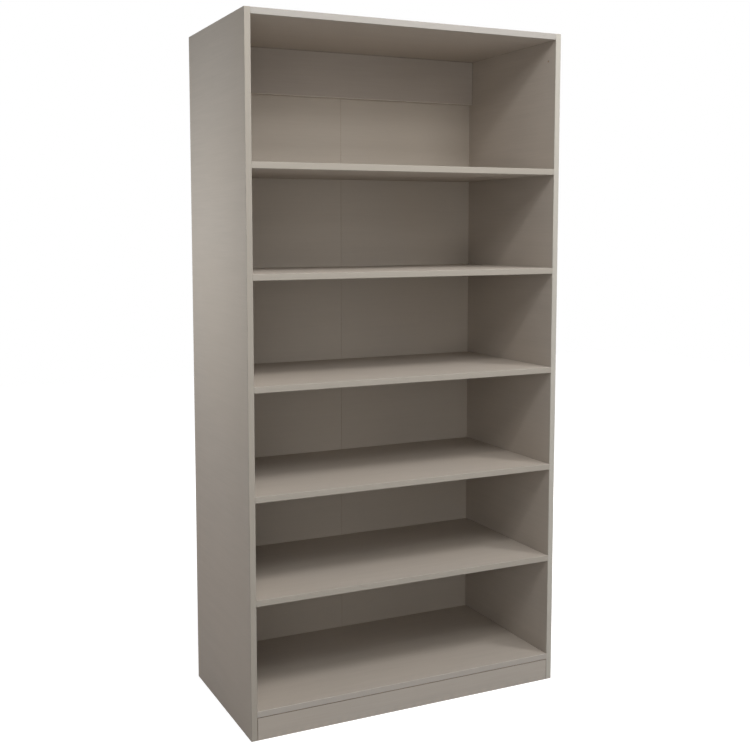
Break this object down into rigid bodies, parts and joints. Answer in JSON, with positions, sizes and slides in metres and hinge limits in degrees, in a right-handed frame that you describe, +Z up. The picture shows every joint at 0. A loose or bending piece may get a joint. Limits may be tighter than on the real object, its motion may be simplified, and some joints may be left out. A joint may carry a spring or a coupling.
{
  "type": "closet shelving unit",
  "caption": "Tall open closet shelving unit of faced chipboard, with fixed shelves between full-height sides, a flush plinth and a folding hardboard back.",
  "frame": {"origin": "on the floor, in the middle of the outer box", "axes": "+Z up along the height, +X to the right across the width, -Y towards the open front"},
  "size_m": [1, 0.48, 1.98],
  "materials": {
    "faced_board": "matt melamine facing, taupe, on chipboard",
    "edge_band": "satin plastic edge band, light taupe",
    "hardboard": "printed taupe front, raw brown rear",
    "hinge_tape": "glued paper cloth tape",
    "zinc": "die-cast zinc, dull",
    "bolt_steel": "zinc-plated steel",
    "cap_plastic": "moulded taupe plastic",
    "beech": "plain beech",
    "nail_steel": "bright steel"
  },
  "bodies": {
    "root": {"side_left": "faced_board", "side_right": "faced_board", "top_panel": "faced_board", "bottom_panel": "faced_board", "shelf_1": "faced_board", "shelf_2": "faced_board", "shelf_3": "faced_board", "shelf_4": "faced_board", "shelf_5": "faced_board", "plinth_front": "faced_board", "plinth_rear": "faced_board", "top_rail": "faced_board", "back_left": "hardboard", "back_right": "hardboard", "back_tape": "hinge_tape", "side_left_edge": "edge_band", "side_right_edge": "edge_band", "side_left_top_edge": "edge_band", "side_right_top_edge": "edge_band", "top_edge": "edge_band", "bottom_edge": "edge_band", "shelf_1_edge": "edge_band", "shelf_2_edge": "edge_band", "shelf_3_edge": "edge_band", "shelf_4_edge": "edge_band", "shelf_5_edge": "edge_band", "rail_edge": "edge_band", "cam_locks": "zinc", "cam_bolts": "bolt_steel", "cam_caps": "cap_plastic", "wood_dowels": "beech", "back_nails": "nail_steel"}
  },
  "joints": []
}
